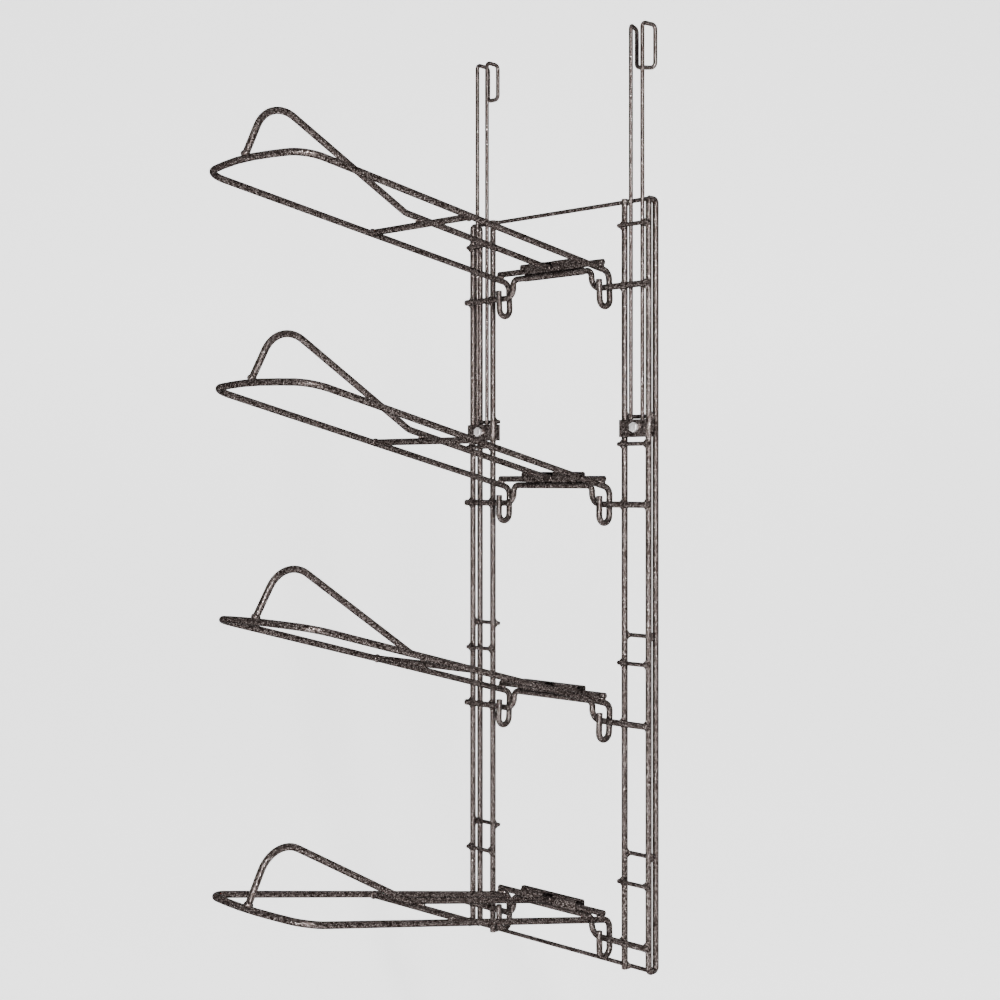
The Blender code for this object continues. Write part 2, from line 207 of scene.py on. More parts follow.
def draw_rod(bm, corners, bends, radius):
    """Draw a rod through corners as a bending machine does: straight, turn, straight."""
    corners = [Vector(corner) for corner in corners]
    spot = corners[0]
    ring = section(bm, spot, corners[1] - spot, radius)
    rings = [ring]
    for index, bend in enumerate(bends, start=1):
        start, centre, axis, turn = bend_at(*corners[index - 1:index + 2], bend)
        if (start - spot).length > GAP:
            ring, verts = grow(bm, ring)
            bmesh.ops.translate(bm, vec=start - spot, verts=verts)
        steps = max(2, math.ceil(turn / look().bend_step))
        step_turn = Matrix.Rotation(turn / steps, 3, axis)
        for _ in range(steps):
            ring, verts = grow(bm, ring)
            bmesh.ops.rotate(bm, cent=centre, matrix=step_turn, verts=verts)
        spot = centre + Matrix.Rotation(turn, 3, axis) @ (start - centre)
    ring, verts = grow(bm, ring)
    bmesh.ops.translate(bm, vec=corners[-1] - spot, verts=verts)
    rings.append(ring)
    return rings


def close_ends(bm, rings, radius):
    """Cap a rod and round the rim of each cut end."""
    rims = []
    for ring in rings:
        bmesh.ops.contextual_create(bm, geom=ring)
        rims += ring
    bmesh.ops.bevel(bm, geom=rims, offset=radius * look().end_round, offset_type="OFFSET", segments=3,
                    profile=0.5, affect="EDGES", material=-1)


def rod_shape(corners, bends, radius):
    """A bmesh of one bent rod with rounded ends."""
    bm = bmesh.new()
    close_ends(bm, draw_rod(bm, corners, bends, radius), radius)
    return bm


def ring_shape(corners, bend, radius):
    """A bmesh of a rod that is bent into a closed loop."""
    corners = [Vector(corner) for corner in corners]
    middle = (corners[0] + corners[-1]) / 2
    bm = bmesh.new()
    draw_rod(bm, [middle, *corners, middle], [bend] * len(corners), radius)
    bmesh.ops.remove_doubles(bm, verts=bm.verts, dist=GAP / 10)
    return bm


def straight_rod(node, radius):
    """A smooth rod in the place of a straight CAD rod that lies along one axis."""
    low, high = corners_of(node)
    size = high - low
    middle = (low + high) / 2
    axis = max(range(3), key=lambda index: size[index])
    reach = Vector()
    reach[axis] = size[axis] / 2
    add_piece(f"{node}_rod", rod_shape([middle - reach, middle + reach], [], radius), ROOT, "frame_coat",
              [node])


def folded(profile, along, stations, is_open=None):
    """A bmesh of a folded sheet's middle surface, swept through stations, with openings left out."""
    bm = bmesh.new()
    along = Vector(along)
    row = [bm.verts.new(Vector(point) + along * stations[0]) for point in profile]
    ring = [bm.edges.new(pair) for pair in zip(row, row[1:])]
    for start, end in zip(stations, stations[1:]):
        ring, verts = grow(bm, ring)
        bmesh.ops.translate(bm, vec=along * (end - start), verts=verts)
    if is_open:
        gone = [face for face in bm.faces if is_open(face.calc_center_median())]
        bmesh.ops.delete(bm, geom=gone, context="FACES")
    bmesh.ops.recalc_face_normals(bm, faces=bm.faces)
    return bm


def thicken(piece, thickness, rounding, segments=2):
    """Give a sheet its thickness and round its cut edges."""
    wall = piece.modifiers.new("wall", "SOLIDIFY")
    wall.thickness = thickness
    wall.offset = 0.0
    wall.use_even_offset = True
    edge = piece.modifiers.new("edge", "BEVEL")
    edge.width = rounding
    edge.segments = segments
    edge.limit_method = "ANGLE"
    edge.angle_limit = math.radians(50.0)
    edge.harden_normals = False


def rounded_block(low, high, rounding):
    """A bmesh of a plate or block with rounded edges."""
    bm = bmesh.new()
    bmesh.ops.create_cube(bm, size=1.0)
    bmesh.ops.scale(bm, vec=high - low, verts=bm.verts)
    bmesh.ops.translate(bm, vec=(low + high) / 2, verts=bm.verts)
    bmesh.ops.bevel(bm, geom=bm.edges, offset=rounding, offset_type="OFFSET", segments=3,
                    profile=0.5, affect="EDGES", material=-1)
    return bm


def corners_of(node):
    """The low and the high corner of a CAD node's box."""
    low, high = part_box(node)
    return Vector(low), Vector(high)


def ladder_axes(side):
    """X of a ladder's inner upright and of its outer post."""
    return [sum(corners_of(f"{leg}_{side}"), Vector()).x / 2 for leg in ("inner_upright", "outer_post")]


def hook_middle(side):
    """X midway between a hook's two wires."""
    return sum(ladder_axes(side)) / 2 + HOOK_SHIFT[side]


def swing_axis(tier):
    """Where an arm's swing axis crosses the middle of the rack."""
    joint = next(item for item in frame["joints"] if item["name"] == f"arm_{tier}_swing")
    return Vector(joint["pos_m"])


def tilted(tier):
    """Turns a place in the axes of a tier's bar into the frame's."""
    lean = math.radians(RAIL_TILT - TIER_TILTS[tier - 1])
    return Matrix.Translation(swing_axis(tier)) @ Matrix.Rotation(lean, 4, "X")


def link(item):
    """Put an object into the scene."""
    bpy.context.scene.collection.objects.link(item)


def on_arm(x, s, n):
    """A place given in the plane of an arm's rails, in the axes of its bar."""
    tilt = math.radians(RAIL_TILT)
    forward = s * math.cos(tilt) - n * math.sin(tilt)
    up = RAIL_HEIGHT + s * math.sin(tilt) + n * math.cos(tilt)
    return Vector((x, -forward, up))


# ---------------------------------------------------------------- weld fillets

def add_fillet(bm, centre, along_a, along_b, reach_a, reach_b, thickness, low=None, high=None):
    """A diamond of weld metal in the plane where two crossing rods touch, cut off at low and high."""
    across = along_a.cross(along_b).normalized()
    made = bmesh.ops.create_uvsphere(bm, u_segments=24, v_segments=12, radius=1.0)
    for vert in made["verts"]:
        flat = math.hypot(vert.co.x, vert.co.y)
        spread = 1.0
        if flat > 0.001:
            cosine, sine = abs(vert.co.x) / flat, abs(vert.co.y) / flat
            power = look().weld_hollow
            spread = (cosine ** power + sine ** power) ** (-1 / power)
        x, y, z = vert.co
        vert.co = centre + along_a * x * spread * reach_a + along_b * y * spread * reach_b
        vert.co += across * z * thickness
        if low:
            vert.co = Vector([min(max(value, least), most)
                              for value, least, most in zip(vert.co, low, high)])


def add_collar(bm, centre, along, radius, reach):
    """A ring of weld metal round the end of a rod that butts against another."""
    place = Matrix.Translation(centre) @ along.to_track_quat("Z", "Y").to_matrix().to_4x4()
    size = Matrix.Diagonal((radius, radius, reach, 1.0))
    bmesh.ops.create_uvsphere(bm, u_segments=24, v_segments=12, radius=1.0, matrix=place @ size)


# ---------------------------------------------------------------- materials

class Sock:
    """A shader socket that Python's operators work on."""

    def __init__(self, tree, socket):
        self.tree = tree
        self.socket = socket

    def node(self, kind, settings=None, inputs=None, output=0):
        """Add a node, set it up, feed its sockets and give one of its outputs."""
        made = self.tree.nodes.new(kind)
        for key, value in (settings or {}).items():
            setattr(made, key, value)
        for key, value in (inputs or {}).items():
            if isinstance(value, Sock):
                self.tree.links.new(value.socket, made.inputs[key])
            else:
                made.inputs[key].default_value = value
        return Sock(self.tree, made.outputs[output])

    def maths(self, operation, first, second):
        """One arithmetic node."""
        return self.node("ShaderNodeMath", {"operation": operation}, {0: first, 1: second})

    def __add__(self, other):
        return self.maths("ADD", self, other)

    __radd__ = __add__

    def __mul__(self, other):
        return self.maths("MULTIPLY", self, other)

    __rmul__ = __mul__

    def __sub__(self, other):
        return self.maths("SUBTRACT", self, other)

    def __rsub__(self, other):
        return self.maths("SUBTRACT", other, self)

    def ramp(self, low, high):
        """0 below low, 1 above high, smooth between."""
        return self.node("ShaderNodeMapRange", {"interpolation_type": "SMOOTHSTEP"},
                         {"Value": self, "From Min": low, "From Max": high})

    def blend(self, first, second):
        """A colour that goes from first to second as this value goes from 0 to 1."""
        return self.node("ShaderNodeMix", {"data_type": "RGBA"}, {0: self, 6: first, 7: second}, output=2)


def start_material(name):
    """A new material with its shader and the object's own coordinates."""
    material = bpy.data.materials.new(name)
    material.use_nodes = True
    tree = material.node_tree
    shader = tree.nodes["Principled BSDF"]
    places = tree.nodes.new("ShaderNodeTexCoord")
    return material, tree, shader, Sock(tree, places.outputs["Object"])


def connect(tree, source, shader, name):
    """Feed one of the shader's inputs."""
    tree.links.new(source.socket, shader.inputs[name])


def hammertone(name, lightness, pebble_scale, depth):
    """Textured powder coat: small smooth dimples, dark creases and metal flakes that catch the light."""
    settings = look()
    material, tree, shader, place = start_material(name)
    warp = place.node("ShaderNodeTexNoise", None, {"Vector": place, "Scale": pebble_scale * 0.6,
                                                   "Detail": 2.0}, output=1)
    moved = place.node("ShaderNodeVectorMath", {"operation": "MULTIPLY_ADD"},
                       {0: warp, 1: (0.0022, 0.0022, 0.0022), 2: place})
    cells = place.node("ShaderNodeTexVoronoi", {"feature": "SMOOTH_F1"},
                       {"Vector": moved, "Scale": pebble_scale, "Smoothness": 0.35})
    pebble = (1.0 - cells).ramp(0.25, 0.85)
    flake = place.node("ShaderNodeTexNoise", None, {"Vector": moved, "Scale": pebble_scale * 1.7,
                                                    "Detail": 3.0, "Roughness": 0.65})
    cloud = place.node("ShaderNodeTexNoise", None, {"Vector": place, "Scale": 38.0, "Detail": 3.0})
    dark, middle, light = (tuple(channel * lightness for channel in colour) + (1.0,)
                           for colour in (settings.coat_dark, settings.coat_middle, settings.coat_light))
    base = (pebble * 0.75 + cloud * 0.35).ramp(0.15, 0.80).blend(dark, middle)
    spark = flake.ramp(0.52, 0.62) * pebble
    connect(tree, spark.blend(base, light), shader, "Base Color")
    rough = settings.coat_roughness
    connect(tree, rough + 0.08 - pebble * 0.12 - spark * 0.08 + cloud * 0.06, shader, "Roughness")
    shader.inputs["Metallic"].default_value = settings.coat_metal
    shader.inputs["Specular IOR Level"].default_value = 0.0
    shader.inputs["Specular Tint"].default_value = (0.02, 0.02, 0.02, 1.0)
    height = pebble * 0.8 + flake * 0.35
    bump = place.node("ShaderNodeBump", None, {"Strength": 1.0, "Distance": depth, "Height": height})
    connect(tree, bump, shader, "Normal")
    return material


def bright_zinc(name):
    """Thin bright plating with a fine grain and faint dull patches."""
    settings = look()
    material, tree, shader, place = start_material(name)
    grain = place.node("ShaderNodeTexNoise", None, {"Vector": place, "Scale": 900.0, "Detail": 4.0})
    patch = place.node("ShaderNodeTexNoise", None, {"Vector": place, "Scale": 160.0, "Detail": 2.0})
    bright = tuple(settings.zinc) + (1.0,)
    dull = tuple(channel * 0.72 for channel in settings.zinc) + (1.0,)
    connect(tree, patch.ramp(0.42, 0.62).blend(bright, dull), shader, "Base Color")
    connect(tree, 0.34 + grain * 0.16 + patch * 0.10, shader, "Roughness")
    shader.inputs["Metallic"].default_value = 0.85
    bump = place.node("ShaderNodeBump", None, {"Strength": 0.4, "Distance": 0.0002, "Height": grain})
    connect(tree, bump, shader, "Normal")
    return material


def plain_stage(name, colour, roughness, into_view):
    """Matt paint for the floor and the backdrop, lit up from some way behind the rack."""
    material, tree, shader, place = start_material(name)
    grain = place.node("ShaderNodeTexNoise", None, {"Vector": place, "Scale": 40.0, "Detail": 2.0})
    pale = tuple(colour) + (1.0,)
    shade = tuple(channel * 0.985 for channel in colour) + (1.0,)
    connect(tree, grain.blend(pale, shade), shader, "Base Color")
    shader.inputs["Roughness"].default_value = roughness
    depth = place.node("ShaderNodeVectorMath", {"operation": "DOT_PRODUCT"}, {0: place, 1: into_view},
                       output=1)
    connect(tree, depth.ramp(0.55, 1.15).blend((0.0, 0.0, 0.0, 1.0), pale), shader, "Emission Color")
    shader.inputs["Emission Strength"].default_value = look().stage_glow
    return material


FINISHES = {
    "frame_coat": lambda: hammertone("frame hammertone", 0.86, 420.0, 0.00030),
    "arm_coat": lambda: hammertone("arm hammertone", 0.80, 440.0, 0.00024),
    "sheet_coat": lambda: hammertone("sheet hammertone", 0.80, 420.0, 0.00022),
    "hook_coat": lambda: hammertone("hook hammertone", 0.86, 460.0, 0.00028),
    "bright_zinc": lambda: bright_zinc("bright zinc"),
}
made_finishes = {}


def finish_for(slot):
    """The material of a record slot, made once."""
    if slot not in made_finishes:
        made_finishes[slot] = FINISHES[slot]()
    return made_finishes[slot]


# ---------------------------------------------------------------- settings

class SaddleRackLook(bpy.types.PropertyGroup):
    """Sizes and colours that a user would change."""

    rod_sides: IntProperty(name="Rod sides", description="Faces round a rod", default=24, min=8)
    bend_step: FloatProperty(name="Bend step", description="Turn of one step of a bend",
                             default=math.radians(7.5), subtype="ANGLE")
    end_round: FloatProperty(name="End rounding", description="Rounding of a cut end, as a share of the "
                             "rod's radius", default=0.22, min=0.02, max=0.45)
    weld_reach: FloatProperty(name="Weld reach", description="Weld metal along a rod, past the rod that "
                              "it crosses", default=0.0062, subtype="DISTANCE", unit="LENGTH")
    weld_thickness: FloatProperty(name="Weld thickness", description="Half of a fillet's thickness",
                                  default=0.0034, subtype="DISTANCE", unit="LENGTH")
    weld_hollow: FloatProperty(name="Weld hollow", description="Under 1 draws a fillet's sides in",
                               default=0.90, min=0.6, max=2.0)
    coat_dark: FloatVectorProperty(name="Coat creases", description="Coat colour between the dimples",
                                   default=(0.016, 0.0115, 0.010), subtype="COLOR")
    coat_middle: FloatVectorProperty(name="Coat", description="Coat colour on the dimples",
                                     default=(0.070, 0.054, 0.050), subtype="COLOR")
    coat_light: FloatVectorProperty(name="Coat flakes", description="Colour of the metal flakes",
                                    default=(0.60, 0.53, 0.51), subtype="COLOR")
    coat_metal: FloatProperty(name="Coat metal", description="How metallic the flake in the coat is",
                              default=0.75, min=0.0, max=1.0)
    coat_roughness: FloatProperty(name="Coat roughness", description="Roughness of the coat",
                                  default=0.20, min=0.0, max=1.0)
    zinc: FloatVectorProperty(name="Zinc", description="Colour of the plated bolts",
                              default=(0.74, 0.71, 0.71), subtype="COLOR")
    stage_colour: FloatVectorProperty(name="Stage", description="Colour of the floor and backdrop",
                                      default=(0.93, 0.93, 0.93), subtype="COLOR")
    stage_glow: FloatProperty(name="Stage glow", description="Light that the lit backdrop gives off",
                              default=1.5, min=0.0)
    floor_drop: FloatProperty(name="Floor drop", description="Floor below the rack's lower end",
                              default=0.45, subtype="DISTANCE", unit="LENGTH")
    key_power: FloatProperty(name="Key light", description="Power of the main softbox", default=60.0,
                             unit="POWER")


# ---------------------------------------------------------------- operators

class SADDLERACK_OT_ladders(bpy.types.Operator):
    """Uprights, looped outer posts, crossbars and rungs of the two ladders"""

    bl_idname = "saddlerack.ladders"
    bl_label = "Ladders"

    def execute(self, context):
        for bar in ("top_bar", "bottom_bar"):
            straight_rod(bar, WIRE_R)
        for side, _ in SIDES:
            straight_rod(f"inner_upright_{side}", ROD_R)
            self.outer_post(side)
            for tier in TIERS:
                straight_rod(f"front_rung_{side}_{tier}", WIRE_R)
            for tier in TIERS[:-1]:
                straight_rod(f"back_rung_{side}_{tier}", WIRE_R)
        return {"FINISHED"}

    def outer_post(self, side):
        """One rod bent into a long flat loop."""
        low, high = corners_of(f"outer_post_{side}")
        x = (low.x + high.x) / 2
        front, back = low.y + ROD_R, high.y - ROD_R
        bottom, top = low.z + ROD_R, high.z - ROD_R
        corners = [(x, front, bottom), (x, front, top), (x, back, top), (x, back, bottom)]
        bm = ring_shape(corners, POST_BEND, ROD_R)
        add_piece(f"outer_post_{side}_rod", bm, ROOT, "frame_coat", [f"outer_post_{side}"])


class SADDLERACK_OT_cranked_bars(bpy.types.Operator):
    """The four bars that join the ladders, each with a raised middle"""

    bl_idname = "saddlerack.cranked_bars"
    bl_label = "Cranked bars"

    def execute(self, context):
        for tier in TIERS:
            node = f"crank_bar_{tier}"
            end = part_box(node)[1][0]
            corners = [(-end, 0, 0), (-CRANK_LEG_X, 0, 0), (-CRANK_LEG_X, 0, CRANK_RISE),
                       (CRANK_LEG_X, 0, CRANK_RISE), (CRANK_LEG_X, 0, 0), (end, 0, 0)]
            bm = rod_shape(corners, CRANK_BENDS, ROD_R)
            bmesh.ops.transform(bm, matrix=tilted(tier), verts=bm.verts)
            add_piece(f"{node}_rod", bm, ROOT, "frame_coat", [node])
        return {"FINISHED"}


class SADDLERACK_OT_arms(bpy.types.Operator):
    """Rails, ridge, cross rod and rear bar of the four saddle arms"""

    bl_idname = "saddlerack.arms"
    bl_label = "Saddle arms"

    def execute(self, context):
        for tier in TIERS:
            self.arm_rod(tier, "loop", *self.loop_path())
            self.arm_rod(tier, "ridge", *self.ridge_path())
            inner = RAIL_X - ROD_R - GAP
            self.arm_rod(tier, "cross_rod", [on_arm(x, CROSS_ROD_S, 0) for x in (-inner, inner)], [])
            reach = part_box(f"arm_rear_bar_{tier}")[1][0]
            self.arm_rod(tier, "rear_bar", [on_arm(x, REAR_BAR_S, TOUCH_ROD) for x in (-reach, reach)], [])
        return {"FINISHED"}

    def arm_rod(self, tier, kind, corners, bends):
        """One rod of an arm, put in its place on the tier."""
        node = f"arm_{kind}_{tier}"
        bm = rod_shape(corners, bends, ROD_R)
        bmesh.ops.transform(bm, matrix=tilted(tier), verts=bm.verts)
        add_piece(f"{node}_rod", bm, f"arm_{tier}", "arm_coat", [node])

    def loop_path(self):
        """Jaw, side rail, nose, side rail, jaw."""
        tip_y = -TOUCH_ROD
        shank_y = tip_y + JAW_WIDTH
        bend = JAW_WIDTH / 2
        jaw_bottom = -JAW_DROP - bend
        rail_start = RAIL_HEIGHT - shank_y * math.tan(math.radians(RAIL_TILT))
        half = [Vector((RAIL_X, tip_y, JAW_TIP_RISE)), Vector((RAIL_X, tip_y, jaw_bottom)),
                Vector((RAIL_X, shank_y, jaw_bottom)), Vector((RAIL_X, shank_y, rail_start)),
                on_arm(RAIL_X, CORNER_S, 0)]
        other_half = [Vector((-spot.x, spot.y, spot.z)) for spot in reversed(half)]
        half_bends = [bend, bend, RAIL_BEND, CORNER_BEND]
        return half + [on_arm(0, NOSE_S, 0)] + other_half, half_bends + [NOSE_BEND] + half_bends[::-1]

    def ridge_path(self):
        """Foot on the nose, bow, knee, and the long run to the rear bar."""
        corners = [on_arm(0, RIDGE_FOOT_S, ROD_R + RIDGE_FOOT_GAP), on_arm(0, *RIDGE_PEAK),
                   on_arm(0, RIDGE_KNEE_S, TOUCH_ROD),
                   on_arm(0, REAR_BAR_S + ROD_R + 2 * GAP, TOUCH_ROD)]
        return corners, [RIDGE_PEAK_BEND, RIDGE_KNEE_BEND]


class SADDLERACK_OT_keepers(bpy.types.Operator):
    """The folded sheet on each arm that hooks behind its cranked bar"""

    bl_idname = "saddlerack.keepers"
    bl_label = "Keepers"

    def execute(self, context):
        for tier in TIERS:
            node = f"arm_keeper_{tier}"
            bm = self.keeper_sheet()
            bmesh.ops.transform(bm, matrix=tilted(tier), verts=bm.verts)
            piece = add_piece(f"{node}_sheet", bm, f"arm_{tier}", "sheet_coat", [node])
            thicken(piece, SHEET, SHEET * 0.24)
        return {"FINISHED"}

    def keeper_sheet(self):
        """Two knuckles over the rear bar and a back wall behind the cranked bar."""
        bar_y = on_arm(0, REAR_BAR_S, TOUCH_ROD).y
        front_y = bar_y - (ROD_R + GAP + SHEET / 2)
        front_foot = math.sqrt((CRANK_RISE + ROD_R + SWING_GAP) ** 2 - (front_y + SHEET / 2) ** 2)
        back_y = ROD_R + KEEPER_PLAY + SHEET / 2
        top = KEEPER_TOP - SHEET / 2
        steps = 8
        turns = [QUARTER_TURN * step / steps for step in range(steps + 1)]
        front = [(0, front_y + KEEPER_CORNER * (1 - math.cos(turn)),
                  top - KEEPER_CORNER * (1 - math.sin(turn))) for turn in turns]
        back = [(0, back_y - KEEPER_CORNER * (1 - math.cos(turn)),
                 top - KEEPER_CORNER * (1 - math.sin(turn))) for turn in reversed(turns)]
        profile = [(0, front_y, front_foot), *front, (0, bar_y, top), *back,
                   (0, back_y, CRANK_RISE - ROD_R)]
        stations = (-KEEPER_X, -KNUCKLE_X, -NOTCH_X, NOTCH_X, KNUCKLE_X, KEEPER_X)

        def is_open(spot):
            """Only the knuckles stand in front of the rear bar."""
            in_front = spot.y < bar_y and spot.z > front_foot
            return in_front and not NOTCH_X < abs(spot.x) < KNUCKLE_X

        return folded(profile, (1, 0, 0), stations, is_open)


class SADDLERACK_OT_hooks(bpy.types.Operator):
    """The two wire hooks that go over the wall"""

    bl_idname = "saddlerack.hooks"
    bl_label = "Hooks"

    def execute(self, context):
        for side, sign in SIDES:
            node = f"hook_{side}"
            low, high = corners_of(node)
            middle = hook_middle(side)
            inner, outer = -sign * HOOK_SPACING / 2, sign * HOOK_SPACING / 2
            back_inner = inner - sign * LOOP_SPREAD[side][0]
            back_outer = outer + sign * LOOP_SPREAD[side][1]
            front, back = low.y + WIRE_R, high.y - WIRE_R
            loop_inner, loop_outer = (WIRE_R - drop for drop in LOOP_DROP[side])
            corners = [(inner, front, low.z), (inner, front, WIRE_R), (back_inner, back, WIRE_R),
                       (back_inner, back, loop_inner), (back_outer, back, loop_outer),
                       (back_outer, back, WIRE_R),
                       (outer, front, WIRE_R), (outer, front, low.z)]
            bm = rod_shape(corners, [HOOK_BEND] * 6, WIRE_R)
            bmesh.ops.translate(bm, vec=(middle, 0, 0), verts=bm.verts)
            joint = Vector((middle + (back_inner + back_outer) / 2, back, (loop_inner + loop_outer) / 2))
            add_collar(bm, joint, Vector((1, 0, 0)), WIRE_R * 1.10, WIRE_R * 0.7)
            add_piece(f"{node}_wire", bm, node, "hook_coat", [node])
        return {"FINISHED"}


class SADDLERACK_OT_clamps(bpy.types.Operator):
    """Plates, pads, bolts and nuts that clamp the hooks to the ladders"""

    bl_idname = "saddlerack.clamps"
    bl_label = "Clamps"

    def execute(self, context):
        for side, _ in SIDES:
            self.front_plate(side)
            self.block(f"clamp_back_{side}", BACK_EDGE)
            self.block(f"clamp_pad_{side}", PAD_EDGE)
            self.bolt(side)
            self.nut(side)
        return {"FINISHED"}

    def front_plate(self, side):
        """A flat plate whose right edge wraps round the upright."""
        node = f"clamp_front_{side}"
        low, high = corners_of(node)
        face_y = low.y + CLAMP_PLATE / 2
        edge_x = high.x - CLAMP_PLATE / 2
        bend = ROD_R + GAP + CLAMP_PLATE / 2
        steps = 10
        turns = [QUARTER_TURN * step / steps for step in range(steps + 1)]
        wrap = [(edge_x - bend + bend * math.sin(turn), face_y + bend - bend * math.cos(turn), 0)
                for turn in turns]
        profile = [(low.x, face_y, 0), *wrap, (edge_x, high.y, 0)]
        bm = folded(profile, (0, 0, 1), (low.z, high.z))
        piece = add_piece(f"{node}_sheet", bm, ROOT, "sheet_coat", [node])
        thicken(piece, CLAMP_PLATE, PLATE_EDGE, 3)

    def block(self, node, rounding):
        """A back plate or a pad."""
        low, high = corners_of(node)
        add_piece(f"{node}_plate", rounded_block(low, high, rounding), ROOT, "sheet_coat", [node])

    def hex_body(self, bm, centre, length, turned_ends):
        """A hexagon bar along Y with rounded edges and its corners turned off at the ends named."""
        radius = HEX_FLATS / 2 / math.cos(math.pi / 6)
        place = Matrix.Translation(centre) @ Matrix.Rotation(QUARTER_TURN, 4, "X")
        made = bmesh.ops.create_cone(bm, cap_ends=True, segments=6, radius1=radius, radius2=radius,
                                     depth=length, matrix=place)
        for toward in turned_ends:
            cap = next(face for vert in made["verts"] for face in vert.link_faces
                       if len(face.verts) == 6 and face.normal.y * toward > 0.9)
            bmesh.ops.inset_individual(bm, faces=[cap], thickness=HEX_CHAMFER, depth=HEX_CROWN)
        bmesh.ops.bevel(bm, geom=bm.edges, offset=HEX_EDGE, offset_type="OFFSET", segments=2, profile=0.5,
                        affect="EDGES", material=-1)

    def bolt(self, side):
        """Hexagon head, and the turned end of the shank behind the nut."""
        node = f"clamp_bolt_{side}"
        low, high = corners_of(node)
        middle = (low + high) / 2
        head = BOLT_HEAD - HEAD_PLAY
        bm = bmesh.new()
        self.hex_body(bm, Vector((middle.x, low.y + HEX_CROWN + head / 2, middle.z)), head - HEAD_SEAT, (-1,))
        self.shank(bm, middle, low.y + BOLT_HEAD / 2, high.y)
        add_piece(f"{node}_zinc", bm, ROOT, "bright_zinc", [node], crease=30.0)

    def shank(self, bm, middle, start_y, end_y):
        """The shank, turned from a profile whose last stretch is threaded."""
        root = BOLT_R - THREAD_DEPTH
        thread_start = end_y - THREAD_TURNS * THREAD_PITCH
        points = [(0.0, start_y), (BOLT_R, start_y), (BOLT_R, thread_start)]
        for index in range(THREAD_TURNS):
            points += [(root, thread_start + (index + 0.5) * THREAD_PITCH),
                       (BOLT_R, thread_start + (index + 1.0) * THREAD_PITCH)]
        points[-1] = (BOLT_R, end_y - THREAD_PITCH / 3)
        points += [(root, end_y), (0.0, end_y)]
        row = [bm.verts.new((middle.x + r, y, middle.z)) for r, y in points]
        edges = [bm.edges.new(pair) for pair in zip(row, row[1:])]
        bmesh.ops.spin(bm, geom=row + edges, cent=middle, axis=(0, 1, 0), angle=FULL_TURN,
                       steps=THREAD_SIDES, use_merge=True)
        bmesh.ops.remove_doubles(bm, verts=bm.verts, dist=GAP / 10)

    def nut(self, side):
        """A hexagon nut with both ends turned."""
        node = f"clamp_nut_{side}"
        low, high = corners_of(node)
        bm = bmesh.new()
        self.hex_body(bm, (low + high) / 2, high.y - low.y - 2 * HEX_CROWN, (-1, 1))
        add_piece(f"{node}_zinc", bm, ROOT, "bright_zinc", [node], crease=30.0)


